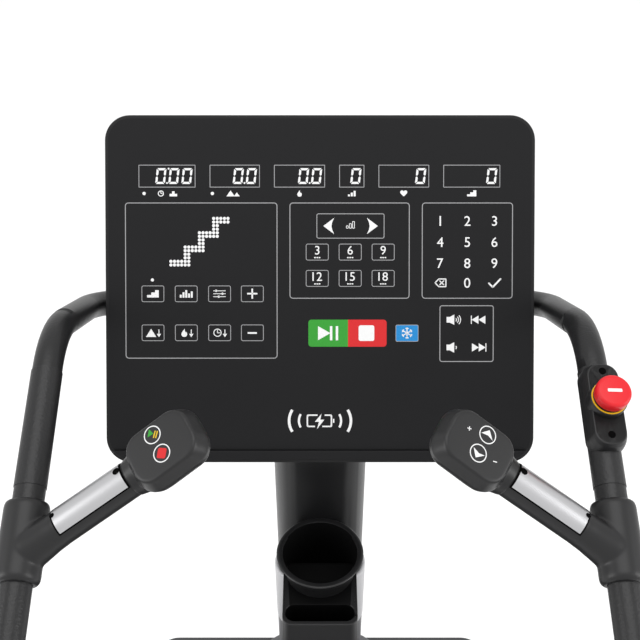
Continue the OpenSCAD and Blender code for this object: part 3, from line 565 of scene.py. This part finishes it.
for name, node, body, mat, profile in (
        ("estop_collar", "estop_ring", "frame", ring_yellow,
         [(0.0166, 0.0348), (0.0180, 0.0348), (0.0180, 0.0353), (0.0166, 0.0353), (0.0166, 0.0348)]),
        ("estop_mushroom", "estop_cap", "estop_cap", cap_red,
         [(0.0, 0.0425), (0.0162, 0.0425), (0.0164, 0.0396), (0.0170, 0.0394), (0.0175, 0.0400), (0.0176, 0.0478),
          (0.0173, 0.0499), (0.0166, 0.0513), (0.0152, 0.0521), (0.0130, 0.0524), (0.0, cap_top)])):
    turned_bm = bmesh.new()
    turned(turned_bm, profile, stop_middle, stop_up, 64)
    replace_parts(to_piece(turned_bm, name, [mat], body, 40.0), node)

# Cup holder: one black moulding with a round cup whose rim flares out over the body, a deep
# pocket with a capsule-shaped slot in front of it, and an arm to the mast behind.
cup_plastic = finish("cup_plastic", (0.0085, 0.0085, 0.009), 0.32, grain=900, bump=0.2, specular=0.38)
# painted shade: a near-black, low-sheen finish standing in for the shade inside the cup and its slot
cup_painted_shade = finish("cup_painted_shade", (0.0015, 0.0015, 0.0016), 0.6, grain=900, bump=0.2, specular=0.08)
cup_middle = Vector((0.0, 0.425, 1.515))
cup_bm = bmesh.new()
turned(cup_bm, [(0.0, -0.091), (0.0440, -0.091), (0.0455, -0.088), (0.0462, -0.060), (0.0472, -0.032),
                (0.0500, -0.018), (0.0545, -0.007), (0.0568, -0.0035), (0.0578, -0.0012), (0.0574, 0.0),
                (0.0560, 0.0003), (0.0515, 0.0003), (0.0502, -0.0004), (0.0496, -0.003), (0.0470, -0.018),
                (0.0442, -0.032), (0.0430, -0.060), (0.0425, -0.083), (0.0405, -0.0855), (0.0, -0.0855)],
       cup_middle + Vector((0, 0, 0.003)), (0, 0.055, 1), 96)

# The pocket: an outer and an inner outline bridged, drawn up and narrowed towards its top
slot_y, slot_half, pocket_half, pocket_lip = 0.35425, 0.0450, 0.0525, 0.0490
pocket_low, pocket_tall = 1.345, 0.140
loops = []
for ring in (round_box(-pocket_half, slot_y - 0.0175, pocket_half, slot_y + 0.076, 0.012, 8),
             round_box(-slot_half, slot_y - 0.01175, slot_half, slot_y + 0.01175, 0.0117, 8)):
    verts = [cup_bm.verts.new((x, y, pocket_low)) for x, y in ring]
    loops.append([cup_bm.edges.new((a, b)) for a, b in zip(verts, verts[1:] + verts[:1])])
wall = bmesh.ops.bridge_loops(cup_bm, edges=loops[0] + loops[1])["faces"]
lip_verts = verts_in(bmesh.ops.extrude_face_region(cup_bm, geom=wall)["geom"])
bmesh.ops.translate(cup_bm, verts=lip_verts, vec=(0, 0, pocket_tall))
outer = [v for v in lip_verts if abs(v.co.x) > slot_half + 0.0002 or abs(v.co.y - slot_y) > 0.0125]
bmesh.ops.scale(cup_bm, verts=outer, vec=(pocket_lip / pocket_half, 1.0, 1.0))
slab(cup_bm, (-0.0500, slot_y - 0.0160, pocket_low), (0.0500, slot_y + 0.0745, pocket_low + 0.005))
slab(cup_bm, (-0.034, 0.466, 1.424), (0.034, 0.5160, 1.456), 0.004, 3)
bmesh.ops.recalc_face_normals(cup_bm, faces=cup_bm.faces)

# The inner walls of the cup and of the slot get the painted shade material: near black with little sheen, standing
# in for the shade deep inside them
for face in cup_bm.faces:
    spot = face.calc_center_median()
    from_axis = (spot - cup_middle).xy
    in_cup = (from_axis.length < 0.0500 and 1.429 < spot.z < 1.5150
              and face.normal.dot(from_axis.to_3d()) <= 0)
    in_slot = abs(spot.x) < 0.0455 and abs(spot.y - slot_y) < 0.0121 and spot.z < 1.484
    face.material_index = 1 if in_cup or in_slot else 0
cup = to_piece(cup_bm, "cup_and_pocket", [cup_plastic, cup_painted_shade], "frame", 40.0)
rounded(cup, "lips", 0.0022, 4, 50)
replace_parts(cup, "cup_holder")

# Console: two moulded shells with a ledge along the bottom, and a flat matt film bonded over
# the front. The board of the displays sits behind the film.
shell_plastic = finish("shell_plastic", (0.007, 0.007, 0.0075), 0.42, grain=900, bump=0.3, specular=0.25)
film = finish("overlay_film", (0.0085, 0.0085, 0.0092), 0.50, grain=1400, bump=0.12, depth=0.0001,
              mottle=0.06, specular=0.13)
softened("console_rear", shell_plastic, 0.006, 4)
softened("console_front", shell_plastic, 0.0012, 3)
softened("overlay", film, 0.0003, 2)
softened("console_ledge", film, 0.0015, 3)
dress("display_board", finish("circuit_board", (0.01, 0.10, 0.04), 0.5, grain=300))

# Print on the film: screen-printed lines and marks, drawn here in millimetres on the face and
# then laid on the console. White and grey inks, and three keys in green, red and blue.
def ink(name, colour, mottle=0.04):
    return finish(name, colour, 0.5, grain=900, bump=0.05, mottle=mottle, specular=0.2)


white_ink = ink("white_ink", (0.66, 0.66, 0.66), 0.03)
line_ink = ink("line_ink", (0.27, 0.27, 0.275), 0.05)
green_ink = ink("green_ink", (0.030, 0.25, 0.028))
red_ink = ink("red_ink", (0.50, 0.018, 0.020))
blue_ink = ink("blue_ink", (0.014, 0.19, 0.46))
yellow_ink = ink("yellow_ink", (0.55, 0.36, 0.015))


def printed(bm, faces, low, high):
    raised = bmesh.ops.extrude_face_region(bm, geom=faces)["geom"]
    bmesh.ops.translate(bm, verts=verts_in(raised), vec=(0, 0, high - low))


def patch(bm, points, low=0.0, high=0.10):
    printed(bm, [bm.faces.new([bm.verts.new((x, y, low)) for x, y in points])], low, high)


def outline(bm, x0, y0, x1, y1, radius, width=0.75, low=0.0, high=0.10, corner=5):
    loops = []
    for inset in (0.0, width):
        ring = round_box(x0 + inset, y0 + inset, x1 - inset, y1 - inset, max(radius - inset, 0.05), corner)
        verts = [bm.verts.new((x, y, low)) for x, y in ring]
        loops += [bm.edges.new((a, b)) for a, b in zip(verts, verts[1:] + verts[:1])]
    printed(bm, bmesh.ops.bridge_loops(bm, edges=loops)["faces"], low, high)


def dot(bm, x, y, radius, low=0.0, high=0.10, sides=14):
    turns = [2 * pi * k / sides for k in range(sides)]
    patch(bm, [(x + radius * cos(a), y + radius * sin(a)) for a in turns], low, high)


def bar(bm, x0, y0, x1, y1, width, low=0.0, high=0.10):
    long_way = Vector((x1 - x0, y1 - y0)).normalized()
    across = Vector((-long_way.y, long_way.x)) * width / 2
    patch(bm, [(x0 + across.x, y0 + across.y), (x0 - across.x, y0 - across.y),
               (x1 - across.x, y1 - across.y), (x1 + across.x, y1 + across.y)], low, high)


def arc(bm, cx, cy, radius, first, last, width, low=0.0, high=0.10, steps=14):
    angles = [radians(first + (last - first) * k / steps) for k in range(steps + 1)]
    far, near = radius + width / 2, radius - width / 2
    patch(bm, [(cx + far * cos(a), cy + far * sin(a)) for a in angles] +
          [(cx + near * cos(a), cy + near * sin(a)) for a in reversed(angles)], low, high)


# Plain numerals, set to a height and centred on a point
def numeral(bm, text, x, y, height, weight=0.0):
    curve = bpy.data.curves.new("numeral", "FONT")
    curve.body, curve.size, curve.resolution_u, curve.extrude, curve.offset = text, height, 4, 0.05, weight
    maker = bpy.data.objects.new("numeral", curve)
    bpy.context.collection.objects.link(maker)
    shape = bpy.data.meshes.new_from_object(maker)
    before = len(bm.verts)
    bm.from_mesh(shape)
    bm.verts.ensure_lookup_table()
    made = bm.verts[before:]
    xs, ys = [v.co.x for v in made], [v.co.y for v in made]
    grow = height / (max(ys) - min(ys))
    bmesh.ops.translate(bm, verts=made, vec=(-(max(xs) + min(xs)) / 2, -(max(ys) + min(ys)) / 2, 0.05))
    bmesh.ops.scale(bm, verts=made, vec=(grow, grow, 1.0))
    bmesh.ops.translate(bm, verts=made, vec=(x, y, 0.0))
    bpy.data.objects.remove(maker)
    bpy.data.meshes.remove(shape)


# A lit nought on a seven-bar display, leaning a little to the right
digit_wide, digit_tall, digit_pitch, digit_inset = 11.6, 18.8, 15.6, 4.3


def lit_nought(bm, left, middle):
    wide, half, thick = digit_wide, digit_tall / 2, 2.5
    side_bar = [(0.0, half - 0.9), (thick, half - thick - 0.5), (thick, 1.9), (thick * 0.5, 0.4), (0.0, 1.4)]
    cap_bar = [(0.9, half), (wide - 0.9, half), (wide - thick - 0.3, half - thick), (thick + 0.3, half - thick)]
    for up in (1, -1):
        for shape in (cap_bar, side_bar, [(wide - x, y) for x, y in side_bar]):
            patch(bm, [(left + x + 0.11 * y * up, middle + y * up) for x, y in shape])


marks, lines = bmesh.new(), bmesh.new()
for x0, x1, count, points in ((-217.0, -149.0, 3, "0:00"), (-132.0, -72.0, 2, "0.0"), (-55.0, 6.0, 2, "0.0"),
                              (23.0, 53.0, 1, "0"), (70.0, 130.5, 1, "0"), (147.5, 215.5, 1, "0")):
    outline(lines, x0, 122.0, x1, 149.0, 0.8, 0.8)
    last_digit = x1 - digit_inset - digit_wide
    for place in range(count):
        lit_nought(marks, last_digit - digit_pitch * place, 135.6)
    point_x = last_digit - digit_pitch * (count - 2)
    if "." in points or ":" in points:
        dot(marks, point_x - 2.5, 127.3, 1.1)
    if ":" in points:
        dot(marks, point_x - 0.6, 144.4, 1.1)
for x in (-210.5, -128.8):
    dot(marks, x, 114.8, 2.0)

# Marks under the six windows: clock, steps, summit, flame, rising bars, heart and steps
outline(marks, -194.0, 111.2, -186.8, 118.4, 3.6, 1.0)
bar(marks, -190.4, 114.6, -190.4, 117.4, 0.9)
bar(marks, -190.6, 114.8, -188.4, 114.8, 0.9)
patch(marks, [(-180.0, 111.4), (-171.0, 111.4), (-171.0, 114.4), (-174.0, 114.4), (-174.0, 117.4), (-177.0, 117.4),
              (-177.0, 114.4), (-180.0, 114.4)])
patch(marks, [(-112.0, 111.4), (-102.0, 111.4), (-107.0, 118.4)])
patch(marks, [(-103.0, 111.4), (-96.0, 111.4), (-99.5, 116.0)])


def flame(bm, x, y, size):
    patch(bm, [(x + size * dx, y + size * dy) for dx, dy in
               ((0.0, -1.0), (0.45, -0.88), (0.70, -0.50), (0.66, -0.05), (0.40, 0.30), (0.36, -0.02),
                (0.16, 0.45), (0.10, 1.0), (-0.30, 0.50), (-0.62, 0.0), (-0.70, -0.45), (-0.45, -0.88))])


def down_arrow(bm, x):
    bar(bm, x, -48.0, x, -54.0, 1.0)
    patch(bm, [(x - 2.6, -53.2), (x + 2.6, -53.2), (x, -57.2)])


flame(marks, -24.5, 114.9, 3.9)
for k in range(3):
    patch(marks, round_box(33.4 + 3.4 * k, 111.4, 35.8 + 3.4 * k, 113.6 + 2.2 * k, 0.3, 2))
patch(marks, [(100.2, 111.2), (104.2, 115.2), (104.4, 117.0), (103.2, 118.4), (101.4, 118.4), (100.2, 117.2),
              (99.0, 118.4), (97.2, 118.4), (96.0, 117.0), (96.2, 115.2)])
patch(marks, [(176.0, 111.4), (187.0, 111.4), (187.0, 118.6), (183.4, 118.6), (183.4, 116.2), (179.8, 116.2),
              (179.8, 113.8), (176.0, 113.8)])

# Program panel: a staircase of round dots over two rows of keys
outline(lines, -233.5, -83.0, -51.0, 104.0, 4.0, 1.0)
stair_dots = {(4 * k + c, 4 * k + r) for k in range(4) for c in range(6) for r in range(2) if 4 * k + c < 17}
stair_dots |= {(4 * k + 4 + c, 4 * k + r) for k in range(3) for c in range(2) for r in range(6)}
for column, row in sorted(stair_dots):
    dot(marks, -178.7 + 4.28 * column, 29.4 + 4.28 * row, 1.9)
dot(marks, -201.0, 11.4, 1.9)
key_half_x, key_half_y, key_round, key_line = 13.6, 9.9, 2.4, 0.8
for x in (-200.5, -160.5, -120.5, -81.2):
    for y in (-5.2, -52.0):
        outline(lines, x - key_half_x, y - key_half_y, x + key_half_x, y + key_half_y, key_round, key_line)
bar(marks, -87.4, -5.0, -75.2, -5.0, 1.9)
bar(marks, -81.3, -11.1, -81.3, 1.1, 1.9)
bar(marks, -86.8, -52.2, -75.8, -52.2, 2.0)
patch(marks, [(-207.5, -9.6), (-193.5, -9.6), (-193.5, -0.8), (-197.8, -0.8), (-197.8, -3.6), (-202.4, -3.6),
              (-202.4, -6.6), (-207.5, -6.6)])
for k, tall in enumerate((3.5, 6.5, 9.0, 5.0, 7.5)):
    patch(marks, round_box(-168.2 + 3.3 * k, -9.8, -165.9 + 3.3 * k, -9.8 + tall, 0.2, 2))
for k, knob in enumerate((-124.6, -117.0, -121.5)):
    slider_y = -1.6 - 3.5 * k
    bar(marks, -128.0, slider_y, -113.2, slider_y, 0.8)
    dot(marks, knob, slider_y, 1.4)
patch(marks, [(-209.0, -57.0), (-196.6, -57.0), (-202.8, -47.2)])
down_arrow(marks, -193.4)
flame(marks, -163.0, -52.0, 5.0)
down_arrow(marks, -154.6)
outline(marks, -128.0, -56.8, -118.2, -47.0, 4.9, 1.0)
bar(marks, -123.1, -52.2, -123.1, -48.6, 0.9)
bar(marks, -123.4, -52.0, -120.2, -52.0, 0.9)
down_arrow(marks, -114.2)

# Level panel: two notched arrowheads and six numbered keys
outline(lines, -36.5, -11.0, 107.4, 104.0, 4.0, 1.0)
outline(lines, -4.2, 61.0, 77.2, 91.0, 2.4, 0.9)
for flip in (1, -1):
    patch(marks, [(36.6 + flip * dx, 76.0 + dy) for dx, dy in
                  ((32.6, 0.0), (19.6, 9.7), (22.0, 4.6), (22.9, 0.0), (22.0, -4.6), (19.6, -9.7))])
for k in range(3):
    outline(marks, 31.2 + 3.7 * k, 73.0, 34.2 + 3.7 * k, 76.6 + 2.6 * k, 0.9, 0.7, corner=3)
for k, text in enumerate(("3", "6", "9", "12", "15", "18")):
    x, y = -3.3 + 39.5 * (k % 3), 44.8 - 31.5 * (k // 3)
    outline(lines, x - 13.7, y - 10.0, x + 13.7, y + 10.0, key_round, key_line)
    numeral(marks, text, x, y + 2.2, 10.4, 0.012)
    for spot in range(3):
        patch(marks, round_box(x - 3.7 + 2.7 * spot, y - 7.3, x - 1.7 + 2.7 * spot, y - 5.9, 0.3, 2))

# Keypad: ten digits, an erase mark and a tick
outline(lines, 122.0, -11.0, 231.0, 104.0, 4.0, 1.0)
for k in range(9):
    numeral(marks, str(k + 1), 144.0 + 32.5 * (k % 3), 82.0 - 25.3 * (k // 3), 11.7, 0.014)
numeral(marks, "0", 176.5, 7.9, 11.9, 0.014)
for a, b in (((138.0, 8.0), (142.4, 12.6)), ((142.4, 12.6), (151.0, 12.6)), ((151.0, 12.6), (151.0, 3.4)),
             ((151.0, 3.4), (142.4, 3.4)), ((142.4, 3.4), (138.0, 8.0)), ((143.6, 10.4), (148.4, 5.6)),
             ((143.6, 5.6), (148.4, 10.4))):
    bar(marks, a[0], a[1], b[0], b[1], 1.3)
    for x, y in (a, b):
        dot(marks, x, y, 0.65, sides=8)
for a, b in (((202.6, 7.4), (207.2, 2.8)), ((207.2, 2.8), (216.4, 12.6))):
    bar(marks, a[0], a[1], b[0], b[1], 2.0)
    for x, y in (a, b):
        dot(marks, x, y, 1.0, sides=10)

# Sound box: louder, back, softer and forward
outline(lines, 143.5, -87.0, 208.5, -19.0, 3.0, 1.0)
for y, waves in ((-36.3, 3), (-69.6, 1)):
    patch(marks, [(152.0, y - 3.4), (155.8, y - 3.4), (161.2, y - 6.2), (161.2, y + 6.2), (155.8, y + 3.4),
                  (152.0, y + 3.4)])
    for wave in range(waves):
        arc(marks, 161.0, y, 2.8 + 2.5 * wave, -42, 42, 1.0, steps=8)
for y, way in ((-36.3, -1), (-69.6, 1)):
    for k in range(2):
        x = 190.5 + way * (8.4 - 8.2 * k)
        patch(marks, [(x - way * 8.2, y - 5.0), (x, y), (x - way * 8.2, y + 5.0)])
    bar(marks, 190.5 + way * 8.8, y - 5.0, 190.5 + way * 8.8, y + 5.0, 1.1)

# Start, stop and cool-down keys: two halves of one bar, and a small key with a snow star
greens, reds, blues = bmesh.new(), bmesh.new(), bmesh.new()
key_low, key_high, seam, film_thick, glyph_top = -68.7, -36.2, 33.6, 0.08, 0.14
key_left = [(x, y) for x, y in round_box(-14.0, key_low, 50.0, key_high, 3.8, 6) if x < seam]
patch(greens, [(seam, key_high)] + key_left + [(seam, key_low)], 0.0, film_thick)
key_right = [(x, y) for x, y in round_box(20.0, key_low, 80.0, key_high, 3.8, 6) if x > seam]
half_way = len(key_right) // 2
patch(reds, key_right[:half_way] + [(seam, key_high), (seam, key_low)] + key_right[half_way:], 0.0, film_thick)
patch(marks, [(-2.4, -60.9), (12.4, -52.4), (-2.4, -44.0)], film_thick, glyph_top)
for left in (11.9, 18.9):
    patch(marks, [(left, -61.0), (left + 2.9, -61.0), (left + 2.9, -44.0), (left, -44.0)], film_thick, glyph_top)
patch(marks, round_box(46.4, -61.8, 65.2, -43.0, 2.4, 5), film_thick, glyph_top)
patch(blues, round_box(91.4, -62.0, 117.6, -42.9, 1.4, 4), 0.0, film_thick)
outline(lines, 90.8, -62.6, 118.2, -42.3, 1.8, 0.7)
star_x, star_y, star_arm, star_fork = 104.5, -52.4, 6.8, 4.2
for turn in (0, 60, 120):
    a = radians(turn + 90)
    reach_x, reach_y = star_arm * cos(a), star_arm * sin(a)
    bar(marks, star_x - reach_x, star_y - reach_y, star_x + reach_x, star_y + reach_y, 1.1, film_thick, glyph_top)
for turn in range(0, 360, 60):
    a = radians(turn + 90)
    x, y = star_x + star_fork * cos(a), star_y + star_fork * sin(a)
    for lean in (-0.75, 0.75):
        bar(marks, x, y, x + 2.6 * cos(a + lean), y + 2.6 * sin(a + lean), 0.9, film_thick, glyph_top)

# Wireless charging mark over the ledge: a cell with a bolt between two pairs of arcs
for flip in (1, -1):
    facing = 90 - flip * 90
    arc(marks, flip * 13.0, -158.0, 24.2, facing - 33, facing + 33, 3.2)
    arc(marks, flip * 10.0, -158.0, 15.4, facing - 31, facing + 31, 2.6)
for a, b in (((-3.0, -151.2), (-14.2, -151.2)), ((-15.2, -152.2), (-15.2, -163.8)),
             ((-14.2, -164.8), (-6.0, -164.8)), ((5.6, -151.2), (12.8, -151.2)),
             ((13.8, -152.2), (13.8, -163.8)), ((12.8, -164.8), (2.8, -164.8)), ((16.4, -155.6), (16.4, -160.4))):
    bar(marks, a[0], a[1], b[0], b[1], 1.7)
for x, y in ((-14.6, -151.8), (-14.6, -164.2), (13.2, -151.8), (13.2, -164.2)):
    dot(marks, x, y, 1.3, sides=10)
patch(marks, [(1.8, -149.6), (-6.2, -159.2), (-1.2, -159.2), (-3.6, -168.0), (5.2, -156.6), (0.4, -156.6)])

# The drawing is laid on the face of the film, from millimetres to metres
millimetres = Matrix.Scale(0.001, 4)
face_place = Matrix.Translation(console_middle) @ Matrix.Rotation(console_lean, 4, "X") @ millimetres
for inked, name, colour in ((marks, "print_white", white_ink), (lines, "print_lines", line_ink),
                            (greens, "print_green", green_ink), (reds, "print_red", red_ink),
                            (blues, "print_blue", blue_ink)):
    bmesh.ops.recalc_face_normals(inked, faces=inked.faces)
    bmesh.ops.transform(inked, matrix=face_place, verts=inked.verts)
    to_piece(inked, name, [colour], "frame", 0)

# Pod print: start and stop marks in rings on the left pod, and two arrowheads in rings with a
# plus and a minus on the right one, all in the same inks as the console's.
ring_upper, ring_lower, ring_radius = (-3.9, 14.0), (-3.7, -7.3), 8.8
pod_lean = radians(39)


# A point of an upright mark on a pod, which lies at a lean to the pod's own length
def upright(spot, u, v):
    return spot[0] + u * cos(pod_lean) + v * sin(pod_lean), spot[1] - u * sin(pod_lean) + v * cos(pod_lean)


for side, label in ((1, "right"), (-1, "left")):
    whites, glow_green, glow_red, glow_yellow = (bmesh.new() for _ in range(4))
    for x, y in (ring_upper, ring_lower):
        outline(whites, x - ring_radius, y - ring_radius, x + ring_radius, y + ring_radius, ring_radius, 1.0,
                corner=8)
    if side < 0:
        patch(glow_green, [upright(ring_upper, u, v) for u, v in ((-4.6, 5.2), (1.0, 1.2), (-4.6, -2.6))])
        for u in (2.1, 4.5):
            bar(glow_yellow, *upright(ring_upper, u + 0.3, 4.0), *upright(ring_upper, u - 0.3, -2.8), 1.3)
        patch(glow_red, [upright(ring_lower, u, v) for u, v in round_box(-4.5, -4.8, 4.5, 4.8, 1.6, 4)])
    else:
        for (x, y), way in ((ring_upper, 1), (ring_lower, -1)):
            patch(whites, [(x + dx, y + way * dy) for dx, dy in
                           ((0.4, 5.2), (6.4, -2.1), (-0.6, -0.3), (-6.6, -1.9))])
        bar(whites, 12.6, 8.7, 16.4, 7.1, 0.9)
        bar(whites, 13.7, 6.0, 15.3, 9.8, 0.9)
        bar(whites, -23.6, -3.3, -19.8, -4.9, 0.9)
    pod_face = pod_place @ Matrix.Translation((0, 0, 0.01905)) @ millimetres
    for inked, name, colour in ((whites, "pod_rings_", white_ink), (glow_green, "pod_start_", green_ink),
                                (glow_red, "pod_stop_", red_ink), (glow_yellow, "pod_pause_", yellow_ink)):
        if not inked.faces:
            inked.free()
            continue
        bmesh.ops.scale(inked, verts=inked.verts, vec=(1.0, -1.0, 1.0))
        bmesh.ops.transform(inked, matrix=pod_face, verts=inked.verts)
        if side < 0:
            bmesh.ops.scale(inked, verts=inked.verts, vec=(-1.0, 1.0, 1.0))
        bmesh.ops.recalc_face_normals(inked, faces=inked.faces)
        to_piece(inked, name + label, [colour], "frame", 0)

# Stop cap mark: a plain white bar printed across the top of the red cap, which turns and sinks
# with the cap.
bar_bm = bmesh.new()
patch(bar_bm, round_box(-1.7, -7.2, 1.7, 7.2, 0.9, 4))
cap_face = stop_place @ Matrix.Translation((0, 0, cap_top)) @ millimetres
bmesh.ops.transform(bar_bm, matrix=cap_face, verts=bar_bm.verts)
bmesh.ops.recalc_face_normals(bar_bm, faces=bar_bm.faces)
to_piece(bar_bm, "estop_cap_bar", [white_ink], "estop_cap", 0)
